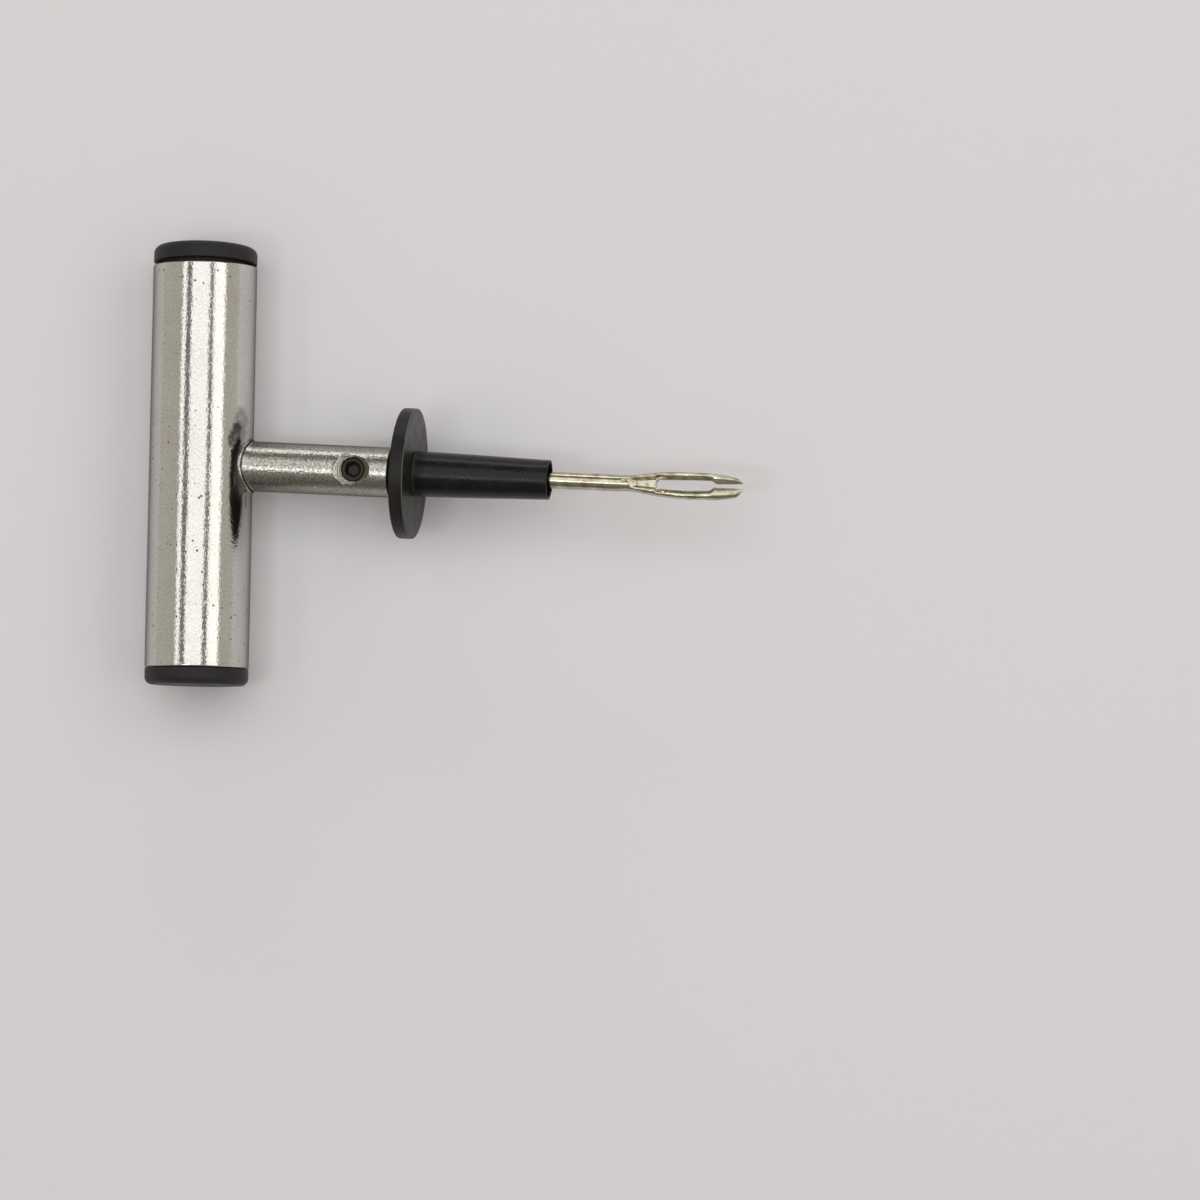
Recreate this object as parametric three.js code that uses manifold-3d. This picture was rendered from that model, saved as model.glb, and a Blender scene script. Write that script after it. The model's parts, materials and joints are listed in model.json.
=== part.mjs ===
// Tyre plug insertion tool: a T-handled hand tool with a clamped split-eye needle,
// a sliding stop disc and a thin guard sleeve.
//
// Working frame, millimetres: the handle lies along Y through the origin, the shank and needle
// point along +X, and the clamping screw faces +Z. At the end the whole tool is tipped to lie as
// it would on a bench, on its handle and on the stop disc's edge, with Z = 0 at the bench.

import * as THREE from "three";
import { mergeVertices } from "three/addons/utils/BufferGeometryUtils.js";
import Module from "manifold-3d";

const wasm = await Module();
wasm.setup();

// ---------- driving dimensions ----------

// handle tube
const tubeDiameter = 25;
const tubeWall = 1.5;
const tubeLength = 96.4;

// end caps: a round-edged head outside the tube and a hollow ribbed spigot inside it
const capHeadThickness = 4;
const capHeadUndersize = 0.2;
const capEdgeRound = 1.8;
const spigotLength = 7;
const spigotWall = 1.6;
const spigotRibHeight = 0.35;
const spigotRibCount = 2;
const upperCapTilt = 2.5;

// shank bar, welded a little out of square to the handle and nearer to its upper end
const shankDiameter = 12;
const shankReach = 46.8;
const shankChamfer = 0.3;
const weldSkew = 2.25;
const weldOffset = 0.75;
const weldWidth = 0.8;

// clamping screw (M6 set screw) and its hole
const screwDiameter = 6;
const screwSocketAcrossFlats = 3;
const screwSocketDepth = 1.8;
const screwRecess = 1;
const screwSetback = 8.6;
const countersinkDiameter = 8.4;
const countersinkAngle = 100;

// needle
const needleDiameter = 4;
const needleTip = 131.1;
const needleSeatDepth = 21;
const eyeHeadLength = 26.8;
const eyeHeadHalfWidth = 3.35;
const eyeHeadThickness = 2.8;
const eyeOpeningHalfWidth = 1.4;
const eyeWebLength = 6.4;
const tipSlotLength = 6.1;
const tipSlotWidth = 1.2;

// stop disc and guard sleeve
const discDiameter = 31.2;
const discThickness = 3.4;
const discEdgeRound = 0.4;
const discGapToShank = 2.2;
const sleeveLength = 32.6;
const sleeveRootDiameter = 10.8;
const sleeveMouthDiameter = 9.5;
const sleeveWall = 0.6;

// clearances
const spigotClearance = 0.3;
const capSeatGap = 0.15;
const weldGap = 0.1;
const needleBoreClearance = 0.1;
const boreEndClearance = 1;
const screwThreadClearance = 0.15;
const screwToNeedleGap = 0.2;
const discBoreClearance = 0.1;
const sleeveToDiscGap = 0.12;

// facet counts
const roundFacets = 48;
const smallFacets = 32;

// ---------- derived sizes ----------

const tubeRadius = tubeDiameter / 2;
const tubeBoreRadius = tubeRadius - tubeWall;
const capRadius = tubeRadius - capHeadUndersize / 2;
const shankRadius = shankDiameter / 2;
const needleRadius = needleDiameter / 2;
const needleBoreRadius = needleRadius + needleBoreClearance;
const needleTail = shankReach - needleSeatDepth;
const eyeHeadStart = needleTip - eyeHeadLength;
const screwX = shankReach - screwSetback;
const discBack = shankReach + discGapToShank;
const discFront = discBack + discThickness;
const discRadius = discDiameter / 2;
const skew = THREE.MathUtils.degToRad(weldSkew);

// On the bench both the handle and the rounded rear edge of the disc touch. In the plane of the
// shank that is edgeReach * cos(rise + lean) = tubeRadius - discEdgeRound, and the skew makes
// the turn about the handle a little larger than the shank's own rise.
const edgeOut = discRadius - discEdgeRound;
const edgeAlong = discBack + discEdgeRound;
const lean = Math.atan2(edgeAlong, edgeOut);
const rise = Math.acos((tubeRadius - discEdgeRound) / Math.hypot(edgeOut, edgeAlong)) - lean;
const benchTip = Math.asin(Math.sin(rise) / Math.cos(skew));

// ---------- helpers ----------

// A closed BufferGeometry as a manifold solid.
function toSolid(geometry) {
  const bare = geometry.index ? geometry.clone() : geometry;
  for (const name of ["normal", "uv"]) bare.deleteAttribute(name);
  const merged = mergeVertices(bare, 1e-4);
  return new wasm.Manifold(new wasm.Mesh({
    numProp: 3,
    vertProperties: new Float32Array(merged.attributes.position.array),
    triVerts: new Uint32Array(merged.index.array),
  }));
}

// A manifold solid back to a BufferGeometry.
function toGeometry(solid) {
  const mesh = solid.getMesh();
  const geometry = new THREE.BufferGeometry();
  geometry.setAttribute("position", new THREE.BufferAttribute(mesh.vertProperties.slice(), 3));
  geometry.setIndex(new THREE.BufferAttribute(mesh.triVerts.slice(), 1));
  geometry.computeVertexNormals();
  return geometry;
}

// A turned solid whose profile is listed as [radius, along] pairs; its axis is Y.
function turned(profile, facets) {
  return new THREE.LatheGeometry(profile.map(([r, y]) => new THREE.Vector2(r, y)), facets);
}

// A plain rod along X from x0 to x1.
function rodAlongX(radius, x0, x1, facets) {
  return new THREE.CylinderGeometry(radius, radius, x1 - x0, facets)
    .rotateZ(-Math.PI / 2)
    .translate((x0 + x1) / 2, 0, 0);
}

// Points of a quarter round from one angle to another, as [radius, along] pairs.
function quarterRound(centreR, centreY, radius, fromDegrees, toDegrees, steps) {
  return Array.from({ length: steps + 1 }, (unused, i) => {
    const angle = THREE.MathUtils.degToRad(fromDegrees + (toDegrees - fromDegrees) * i / steps);
    return [centreR + radius * Math.cos(angle), centreY + radius * Math.sin(angle)];
  });
}

function material(color, roughness, metalness) {
  return new THREE.MeshStandardMaterial({ color, roughness, metalness });
}

function piece(name, geometry, finish) {
  const mesh = new THREE.Mesh(geometry, finish);
  mesh.name = name;
  return mesh;
}

const platedSteel = material("#b9b6ae", 0.28, 1);
const weldMetal = material("#8a8781", 0.45, 1);
const blackPlastic = material("#353433", 0.55, 0);
const blackOxide = material("#26241f", 0.5, 0.8);
const brightNickel = material("#c9c6b4", 0.22, 1);
const blackRubber = material("#343332", 0.6, 0);
const blackVinyl = material("#2b2a29", 0.4, 0);

// ---------- handle ----------

function handleTube() {
  const half = tubeLength / 2;
  const wallSection = [
    [tubeBoreRadius, -half],
    [tubeRadius, -half],
    [tubeRadius, half],
    [tubeBoreRadius, half],
    [tubeBoreRadius, -half],
  ];
  return piece("handle_tube", turned(wallSection, roundFacets), platedSteel);
}

// A cap with its seating plane at Y = 0, its head above and its open spigot below.
function endCap(name) {
  const coreRadius = tubeBoreRadius - spigotClearance - spigotRibHeight;
  const boreRadius = coreRadius - spigotWall;
  const ribPitch = spigotLength / (spigotRibCount + 1);
  const ribs = Array.from({ length: spigotRibCount }, (unused, i) => {
    const middle = -spigotLength + ribPitch * (i + 1);
    return [
      [coreRadius, middle - spigotRibHeight],
      [coreRadius + spigotRibHeight, middle],
      [coreRadius, middle + spigotRibHeight],
    ];
  }).flat();
  const edge = quarterRound(
    capRadius - capEdgeRound, capHeadThickness - capEdgeRound, capEdgeRound, 0, 90, 5);
  const section = [
    [0, 0],
    [boreRadius, 0],
    [boreRadius, -spigotLength],
    [coreRadius - spigotRibHeight, -spigotLength],
    ...ribs,
    [coreRadius, 0],
    [capRadius, 0],
    ...edge,
    [0, capHeadThickness],
  ];
  return piece(name, turned(section, roundFacets), blackPlastic);
}

// The lower cap is home. The upper one is cocked: it touches at the bench side and stands open
// towards the screw side, so it turns about the lowest point of its own rim.
function placedCaps() {
  const half = tubeLength / 2;
  const lower = endCap("end_cap_lower");
  lower.rotation.x = Math.PI;
  lower.position.y = -half - capSeatGap;

  const upper = endCap("end_cap_upper");
  upper.position.z = capRadius;
  const rim = new THREE.Group();
  rim.add(upper);
  rim.rotation.x = -THREE.MathUtils.degToRad(upperCapTilt);
  rim.position.set(0, half + capSeatGap, -capRadius);
  return [lower, rim];
}

// ---------- shank, weld and screw ----------

// The space around the handle's axis, seen from the shank's own line, to cut against.
function handleEnvelope(radius) {
  return toSolid(new THREE.CylinderGeometry(radius, radius, tubeLength, roundFacets)
    .rotateZ(skew));
}

function shank() {
  const end = shankReach - shankChamfer;
  const bar = turned([
    [0, 0],
    [shankRadius, 0],
    [shankRadius, end],
    [shankRadius - shankChamfer, shankReach],
    [0, shankReach],
  ], smallFacets).rotateZ(-Math.PI / 2);
  const needleBore = rodAlongX(
    needleBoreRadius, needleTail - boreEndClearance, shankReach + 1, smallFacets);
  const screwHoleRadius = screwDiameter / 2 + screwThreadClearance;
  const sinkRadius = countersinkDiameter / 2;
  const sinkSlope = Math.tan(THREE.MathUtils.degToRad(countersinkAngle / 2));
  const above = 1;
  const screwHole = turned([
    [0, 0],
    [screwHoleRadius, 0],
    [screwHoleRadius, shankRadius - (sinkRadius - screwHoleRadius) / sinkSlope],
    [sinkRadius + above * sinkSlope, shankRadius + above],
    [0, shankRadius + above],
  ], smallFacets).rotateX(Math.PI / 2).translate(screwX, 0, 0);
  const solid = toSolid(bar)
    .subtract(handleEnvelope(tubeRadius + weldGap))
    .subtract(toSolid(needleBore))
    .subtract(toSolid(screwHole));
  return piece("shank", toGeometry(solid), platedSteel);
}

// The weld follows the saddle where the bar meets the tube: a sleeve around the bar, kept to
// a thin layer on the tube.
function weld() {
  const outer = rodAlongX(shankRadius + weldWidth, 0, tubeRadius + weldWidth, smallFacets);
  const bar = rodAlongX(shankRadius + weldGap, -1, tubeRadius + weldWidth + 1, smallFacets);
  const solid = toSolid(outer)
    .intersect(handleEnvelope(tubeRadius + weldWidth))
    .subtract(handleEnvelope(tubeRadius + weldGap))
    .subtract(toSolid(bar));
  return piece("weld_bead", toGeometry(solid), weldMetal);
}

// The set screw: threaded stub with a hexagon socket, its tip just clear of the needle.
function grubScrew() {
  const radius = screwDiameter / 2;
  const bottom = needleRadius + screwToNeedleGap;
  const top = shankRadius - screwRecess;
  const tipChamfer = 0.6;
  const topChamfer = 0.3;
  const body = turned([
    [0, bottom],
    [radius - tipChamfer, bottom],
    [radius, bottom + tipChamfer],
    [radius, top - topChamfer],
    [radius - topChamfer, top],
    [0, top],
  ], smallFacets);
  const socketRadius = screwSocketAcrossFlats / Math.sqrt(3);
  const socket = new THREE.CylinderGeometry(socketRadius, socketRadius, screwSocketDepth * 2, 6)
    .translate(0, top, 0);
  const solid = toSolid(body).subtract(toSolid(socket));
  const screw = piece("grub_screw", toGeometry(solid), blackOxide);
  screw.rotation.x = Math.PI / 2;
  screw.position.x = screwX;
  return screw;
}

// ---------- needle ----------

// Outline of the forged head in the XY plane: it swells from the neck, runs nearly parallel and
// closes to a blunt nose. A slot opens the eye at the tip, so the outline is one loop.
function eyeHeadOutline() {
  const neckHalf = needleRadius * 0.86;
  const swellX = eyeHeadStart + 0.36 * eyeHeadLength;
  const widestX = eyeHeadStart + 0.62 * eyeHeadLength;
  const noseX = eyeHeadStart + 0.9 * eyeHeadLength;
  const bend = 3;
  const swellHalf = 0.92 * eyeHeadHalfWidth;
  const noseHalf = 0.88 * eyeHeadHalfWidth;
  const slotHalf = tipSlotWidth / 2;
  const tipHalf = slotHalf + 0.5;
  const eyeHalf = eyeOpeningHalfWidth;
  const eyeArcX = eyeHeadStart + eyeWebLength + eyeHalf;
  const slotX = needleTip - tipSlotLength;
  const shoulderX = slotX - (eyeHalf - slotHalf);

  const outline = new THREE.Shape();
  outline.moveTo(eyeHeadStart, -neckHalf);
  outline.quadraticCurveTo(swellX - bend, -0.85 * eyeHeadHalfWidth, swellX, -swellHalf);
  outline.quadraticCurveTo(widestX, -1.04 * eyeHeadHalfWidth, noseX - bend, -noseHalf);
  outline.quadraticCurveTo(noseX, -0.78 * eyeHeadHalfWidth, needleTip, -tipHalf);
  outline.lineTo(needleTip, -slotHalf);
  outline.lineTo(slotX, -slotHalf);
  outline.lineTo(shoulderX, -eyeHalf);
  outline.lineTo(eyeArcX, -eyeHalf);
  outline.absarc(eyeArcX, 0, eyeHalf, -Math.PI / 2, Math.PI / 2, true);
  outline.lineTo(shoulderX, eyeHalf);
  outline.lineTo(slotX, slotHalf);
  outline.lineTo(needleTip, slotHalf);
  outline.lineTo(needleTip, tipHalf);
  outline.quadraticCurveTo(noseX, 0.78 * eyeHeadHalfWidth, noseX - bend, noseHalf);
  outline.quadraticCurveTo(widestX, 1.04 * eyeHeadHalfWidth, swellX, swellHalf);
  outline.quadraticCurveTo(swellX - bend, 0.85 * eyeHeadHalfWidth, eyeHeadStart, neckHalf);
  outline.closePath();
  return outline;
}

// The forged head is that outline, pressed between shallow round dies.
function needle() {
  const plate = new THREE.ExtrudeGeometry(eyeHeadOutline(), {
    depth: eyeHeadThickness,
    curveSegments: 8,
    bevelEnabled: false,
  }).translate(0, 0, -eyeHeadThickness / 2);
  const dieRadius = eyeHeadHalfWidth * 1.15;
  const dies = rodAlongX(dieRadius, eyeHeadStart - 1, needleTip + 1, smallFacets)
    .scale(1, 1, eyeHeadThickness / 2 * 1.1 / dieRadius);
  const tailChamfer = 0.4;
  const overlap = 1.6;
  const rod = turned([
    [0, needleTail],
    [needleRadius - tailChamfer, needleTail],
    [needleRadius, needleTail + tailChamfer],
    [needleRadius, eyeHeadStart - overlap],
    [needleRadius * 0.7, eyeHeadStart + overlap],
    [0, eyeHeadStart + overlap],
  ], smallFacets).rotateZ(-Math.PI / 2);
  const head = toSolid(plate).intersect(toSolid(dies));
  return piece("needle", toGeometry(toSolid(rod).add(head)), brightNickel);
}

// ---------- stop disc and guard sleeve ----------

function stopDisc() {
  const boreRadius = needleRadius + discBoreClearance;
  const rim = discRadius - discEdgeRound;
  const section = [
    [boreRadius, discBack],
    ...quarterRound(rim, discBack + discEdgeRound, discEdgeRound, -90, 0, 3),
    ...quarterRound(rim, discFront - discEdgeRound, discEdgeRound, 0, 90, 3),
    [boreRadius, discFront],
    [boreRadius, discBack],
  ];
  return piece("stop_disc", turned(section, roundFacets).rotateZ(-Math.PI / 2), blackRubber);
}

function guardSleeve() {
  const root = discFront + sleeveToDiscGap;
  const mouth = root + sleeveLength;
  const rootRadius = sleeveRootDiameter / 2;
  const mouthRadius = sleeveMouthDiameter / 2;
  const section = [
    [rootRadius - sleeveWall, root],
    [rootRadius, root],
    [mouthRadius, mouth],
    [mouthRadius - sleeveWall, mouth],
    [rootRadius - sleeveWall, root],
  ];
  return piece("guard_sleeve", turned(section, smallFacets).rotateZ(-Math.PI / 2), blackVinyl);
}

// ---------- assembly ----------

// Everything on the shank's own line, turned out of square about the point of the handle's axis
// where the bar is welded.
const shankLine = new THREE.Group();
shankLine.add(shank(), weld(), grubScrew(), needle(), stopDisc(), guardSleeve());
shankLine.rotation.z = -skew;
shankLine.position.y = weldOffset;

// The whole tool, tipped about the handle until the disc's rear edge meets the bench.
const tool = new THREE.Group();
tool.add(handleTube(), ...placedCaps(), shankLine);
tool.rotation.y = -benchTip;

// The origin is under the middle of the tool, at the bench.
const extent = new THREE.Box3().setFromObject(tool, true);
const middle = extent.getCenter(new THREE.Vector3());
tool.position.set(-middle.x, -middle.y, -extent.min.z);

const tyrePlugTool = new THREE.Group();
tyrePlugTool.add(tool);

export default tyrePlugTool;
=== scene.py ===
# %% [markdown]
# # A tyre plug insertion tool
#
# The tool is a T: a plated steel tube with two plastic end caps, a solid bar welded to its
# middle, and a forged needle that a small set screw clamps in the bar. A rubber stop disc and
# a thin vinyl sleeve slide on the needle. This file builds the fine surfaces over a packed
# engineering model, which fixes every size and joint. Each piece is one surface worked out
# with numpy as a function of two parameters, so that a reader can see its formula.

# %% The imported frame
import json
import math

import bmesh
import bpy
import numpy as np
from mathutils import Matrix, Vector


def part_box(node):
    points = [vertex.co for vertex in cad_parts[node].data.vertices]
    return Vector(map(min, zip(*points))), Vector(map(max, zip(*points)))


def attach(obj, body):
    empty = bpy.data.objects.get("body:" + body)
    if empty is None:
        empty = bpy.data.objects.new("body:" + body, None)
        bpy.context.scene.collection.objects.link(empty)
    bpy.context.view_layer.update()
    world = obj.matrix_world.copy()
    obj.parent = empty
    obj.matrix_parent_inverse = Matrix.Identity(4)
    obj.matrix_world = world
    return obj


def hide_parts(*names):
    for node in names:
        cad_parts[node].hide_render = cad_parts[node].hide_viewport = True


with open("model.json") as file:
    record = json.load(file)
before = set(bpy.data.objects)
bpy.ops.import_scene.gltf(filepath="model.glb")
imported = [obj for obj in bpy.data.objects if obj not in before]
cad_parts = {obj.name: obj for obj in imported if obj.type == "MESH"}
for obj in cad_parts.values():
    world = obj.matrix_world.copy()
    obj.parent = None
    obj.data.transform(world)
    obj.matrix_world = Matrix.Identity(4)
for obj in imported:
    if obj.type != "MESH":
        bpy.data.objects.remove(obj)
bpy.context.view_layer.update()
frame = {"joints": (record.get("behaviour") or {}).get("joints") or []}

# %% [markdown]
# ## Two sets of axes
#
# The handle lies along Y, but the bar and needle are welded on a little out of square, a little
# nearer to the upper cap, and rise from the bench. Both lines are already known to the packed
# model: the middle of the handle's box gives one, and the joints give the other. Every outline
# below is written in millimetres on one of these two lines, and one function places it in the
# world.

# %% Handle line and shank line
METRE = 0.001  # one millimetre in metres

handle_low, handle_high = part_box("handle_tube")
middle = np.array((handle_low + handle_high) / 2)
joints = {joint["name"]: joint for joint in frame["joints"]}
along = np.array(joints["needle_slide"]["axis"])
up = np.array(joints["grub_screw_turn"]["axis"])
across = np.cross(up, along)
handle_axis = np.array((0.0, 1.0, 0.0))
handle_side = np.cross(handle_axis, up)

# The screw's axis crosses the shank line at right angles, level with the handle's axis.
screw_point = np.array(joints["grub_screw_turn"]["pos_m"])
screw_foot = screw_point - up * ((screw_point - middle) @ up)
weld_point = screw_foot - along * ((screw_foot - middle) @ handle_side) / (along @ handle_side)

shank_line = (weld_point, np.stack([along, across, up]))
handle_line = (middle, np.stack([handle_side, handle_axis, up]))
skew_sine = -float(handle_axis @ along)
print("weld out of square by %.2f degrees" % math.degrees(math.asin(skew_sine)))
print("weld %.2f mm above the middle" % ((weld_point - middle) @ handle_axis / METRE))


def placed(points, line):
    """Millimetres on a line to metres: its origin + x * first + y * second + z * third axis."""
    origin, axes = line
    return origin + (np.asarray(points) * METRE) @ axes


# %% [markdown]
# ## Sizes
#
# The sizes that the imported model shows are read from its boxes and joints. The rest are the
# maker's own: walls, edge rounds and clearances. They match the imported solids.

# %% Sizes in millimetres
TUBE_RADIUS = 12.5
TUBE_WALL = 1.5
TUBE_HALF = (handle_high.y - handle_low.y) / 2 / METRE
CAP_RADIUS = 12.4
CAP_HEAD = 4.0
CAP_ROUND = 1.8
CAP_SEAT_GAP = 0.15
CAP_TILT = math.radians(2.5)
SPIGOT_LENGTH = 7.0
SPIGOT_CORE = 10.35
SPIGOT_BORE = 8.75
SPIGOT_RIB = 0.35

SHANK_RADIUS = 6.0
SHANK_END = 46.8
SHANK_CHAMFER = 0.3
NEEDLE_RADIUS = 2.0
NEEDLE_BORE = 2.1
SCREW_X = float((screw_foot - weld_point) @ along / METRE)
SCREW_RADIUS = 3.0
SCREW_TOP = 5.0

DISC_RADIUS = 15.597  # a hair under 15.6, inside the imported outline
DISC_BACK = 49.0
DISC_FRONT = 52.4
SLEEVE_START = 52.52
SLEEVE_END = 85.12
SLEEVE_ROOT_RADIUS = 5.4
SLEEVE_MOUTH_RADIUS = 4.75
SLEEVE_WALL = 0.6
NEEDLE_TIP = 131.1
NEEDLE_TAIL = 25.8
print("screw %.1f mm along the shank" % SCREW_X)

# %% [markdown]
# ## From arrays to meshes
#
# A ring of points, repeated along a path, is a surface. `closed_mesh` joins neighbouring rings
# with four-sided faces. A `loop` joins the last ring to the first, as a pipe wall bent into a
# ring does. With `poles` the first and last rings are single points and get triangles.

# %% Smooth step and mesh object
def smooth(x, start, stop):
    """0 before start, 1 after stop and an S-curve 3t^2 - 2t^3 between them."""
    t = np.clip((np.asarray(x, float) - start) / (stop - start), 0, 1)
    return t * t * (3 - 2 * t)


def linked(name, data):
    """A new object with this mesh, camera or light, linked to the scene."""
    thing = bpy.data.objects.new(name, data)
    bpy.context.scene.collection.objects.link(thing)
    return thing


def object_from(name, points, faces, line, values=None):
    """One mesh object from points in mm on a line. values are numbers kept at its vertices."""
    world = placed(points, line)
    corners = np.array([f[:3] for f in faces])
    last = np.array([(f[0], f[-2], f[-1]) if len(f) == 4 else (f[0],) * 3 for f in faces])
    volume = sum(
        np.einsum("ij,ij->i", world[t[:, 0]], np.cross(world[t[:, 1]], world[t[:, 2]])).sum()
        for t in (corners, last)
    )
    if volume < 0:
        faces = [f[::-1] for f in faces]
    mesh = bpy.data.meshes.new(name)
    mesh.from_pydata(world.tolist(), [], faces)
    mesh.shade_smooth()
    for key, numbers in (values or {}).items():
        mesh.attributes.new(key, "FLOAT", "POINT").data.foreach_set("value", numbers)
    return linked(name, mesh)


# %% Closed surface from rings
def closed_mesh(name, rings, line, ends, values=None):
    """A closed surface from rings, an array (ring, point, xyz) in mm whose points go round."""
    count, size = rings.shape[:2]
    index = np.arange(count * size).reshape(count, size)
    following = np.roll(index, -1, axis=1)
    if ends == "loop":
        nxt, nxt_following = np.roll(index, -1, axis=0), np.roll(following, -1, axis=0)
        quads = np.stack([index, following, nxt_following, nxt], -1).reshape(-1, 4)
        keep = {k: v.ravel() for k, v in (values or {}).items()}
        return object_from(name, rings.reshape(-1, 3), quads.tolist(), line, keep)
    inner = slice(1, count - 1)
    points = np.vstack([rings[inner].reshape(-1, 3), rings[0].mean(0), rings[-1].mean(0)])
    index = np.arange((count - 2) * size).reshape(count - 2, size)
    following = np.roll(index, -1, axis=1)
    quads = np.stack([index[:-1], following[:-1], following[1:], index[1:]], -1).reshape(-1, 4)
    first, last = len(points) - 2, len(points) - 1
    start = np.stack([np.full(size, first), following[0], index[0]], -1)
    stop = np.stack([np.full(size, last), index[-1], following[-1]], -1)
    keep = {
        k: np.concatenate([v[inner].ravel(), [v[0].mean(), v[-1].mean()]])
        for k, v in (values or {}).items()
    }
    return object_from(name, points, quads.tolist() + start.tolist() + stop.tolist(), line, keep)


# %% Declared pieces
def declare(piece, body, node, material):
    """A piece moves with a body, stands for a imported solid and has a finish."""
    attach(piece, body)
    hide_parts(node)
    piece.data.materials.append(material)
    print(piece.name, len(piece.data.polygons), "faces")


# %% [markdown]
# A profile is a list of corners with a rounding radius each. Real parts have no perfectly sharp
# edges, and a small round catches a line of light, so each corner becomes a true arc. A support
# point just beyond each arc keeps the smooth shading of the flat faces flat.

# %% Rounded profiles
def rounded(corners, steps=5, closed=False):
    """Corners (a, b, radius) to points: each corner is swapped for an arc tangent to its sides."""
    spots = np.array([c[:2] for c in corners], float)
    radii = [c[2] for c in corners]
    points = []
    for i, (spot, radius) in enumerate(zip(spots, radii)):
        if radius == 0 or (not closed and i in (0, len(spots) - 1)):
            points.append(spot[None])
            continue
        before = spots[i - 1] - spot
        after = spots[(i + 1) % len(spots)] - spot
        before_length, after_length = np.linalg.norm(before), np.linalg.norm(after)
        before, after = before / before_length, after / after_length
        half = math.acos(np.clip(before @ after, -1, 1)) / 2
        reach = radius / math.tan(half)
        bisector = before + after
        centre = spot + bisector / np.linalg.norm(bisector) * radius / math.sin(half)
        a, b = spot + before * reach - centre, spot + after * reach - centre
        sweep = math.pi - 2 * half
        t = np.linspace(0, 1, steps + 1)[:, None]
        arc = centre + (np.sin((1 - t) * sweep) * a + np.sin(t * sweep) * b) / math.sin(sweep)
        lead = spot + before * min(1.8 * reach, 0.5 * (reach + before_length))
        trail = spot + after * min(1.8 * reach, 0.5 * (reach + after_length))
        points.append(np.vstack([lead, arc, trail]))
    return np.vstack(points)


def stepped(profile, longest):
    """Adds evenly spaced points so that no stretch of a profile is longer than longest."""
    pieces = []
    for a, b in zip(profile[:-1], profile[1:]):
        n = max(1, math.ceil(np.linalg.norm(b - a) / longest))
        pieces.append(a + (b - a) * np.arange(n)[:, None] / n)
    return np.vstack(pieces + [profile[-1:]])


def turned(profile, columns):
    """A profile of (radius, along) turned about its axis: a grid of radius, angle and along."""
    angle = np.arange(columns) * 2 * math.pi / columns
    return np.broadcast_arrays(profile[:, :1], angle, profile[:, 1:])


# %% [markdown]
# ## Colours, nodes and materials
#
# Colours are picked as sRGB hex values, as on a paint card, and turned to the linear light that
# the renderer works in. A material here is always one Principled shader with patterns in
# front of it. Every pattern reads Object coordinates, which are metres on these pieces, so the
# scale of a pattern is one over the real size of what it draws.

# %% Colours and nodes
def linear(hex_colour):
    """An sRGB hex colour as linear red, green, blue and alpha."""
    parts = np.array([int(hex_colour[i:i + 2], 16) for i in (1, 3, 5)]) / 255
    values = np.where(parts <= 0.04045, parts / 12.92, ((parts + 0.055) / 1.055) ** 2.4)
    return (*map(float, values), 1.0)


def connect(tree, node, inputs):
    """Fills inputs of a node: each takes a value, a socket or another node's first output."""
    for key, value in inputs.items():
        if isinstance(value, bpy.types.Node):
            value = value.outputs[0]
        if isinstance(value, bpy.types.NodeSocket):
            tree.links.new(value, node.inputs[key])
        else:
            node.inputs[key].default_value = value


def add(tree, kind, settings=None, inputs=None):
    """Adds a shader node with its properties and inputs."""
    node = tree.nodes.new("ShaderNode" + kind)
    for key, value in (settings or {}).items():
        setattr(node, key, value)
    connect(tree, node, inputs or {})
    return node


RGBA = {"data_type": "RGBA"}
EASED = {"interpolation_type": "SMOOTHSTEP"}


def material_start(name):
    """A new material: its node tree, its Principled shader and the Object coordinates."""
    material = bpy.data.materials.new(name)
    material.use_nodes = True
    tree = material.node_tree
    shader = tree.nodes["Principled BSDF"]
    return material, tree, shader, add(tree, "TexCoord").outputs["Object"]


def at_size(place, size_mm, detail):
    """Inputs of a pattern whose features are size_mm apart, with so many finer layers."""
    return {"Vector": place, "Scale": 1 / (size_mm * METRE), "Detail": detail}


# %% [markdown]
# ## Plated steel
#
# The tube and the bar are drawn mild steel with a bright zinc plate. Zinc is a little warm and
# a little grey beside chrome, and it copies the grain of the rolled steel under it, so edges of
# reflections are frayed while the reflections themselves stay crisp. That look is a metal with
# low roughness and a shallow grain bump. The real grain is finer: it is drawn half a millimetre
# wide so that it shows. Long waves bend the bands. Tiny pits, in loose groups, begin to rust.
#
# The weld's heat left grey and brown stains beside it. Where they lie is a number from 0 to 1
# at the mesh's vertices, and noise frays their edges, so a stain has a real place and still
# looks burnt on rather than painted.

# %% Zinc's colours and stains
TUBE_PLATE = ("#D9D8D4", "#C8C5BE")
BAR_PLATE = ("#B4B2AB", "#9B988E")
PIT_COLOUR = "#4E4630"
PAINTED_EDGE_REFLECTION = "#A39CA0"  # painted reflection: at a grazing angle the plate reflects a little less, and a little mauve, standing in for a shaded surround mirrored at the sides


def frayed(tree, place, name, size_mm, strength):
    """A vertex number times noise: a mottled mask that thins out where the number falls."""
    number = add(tree, "Attribute", {"attribute_name": name}).outputs["Fac"]
    noise = add(tree, "TexNoise", None, at_size(place, size_mm, 4.0))
    mixed = add(tree, "Math", {"operation": "MULTIPLY"}, {0: number, 1: noise})
    return add(tree, "MapRange", EASED, {
        "Value": mixed, "From Min": 0.16, "From Max": 0.52, "To Max": strength})


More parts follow.
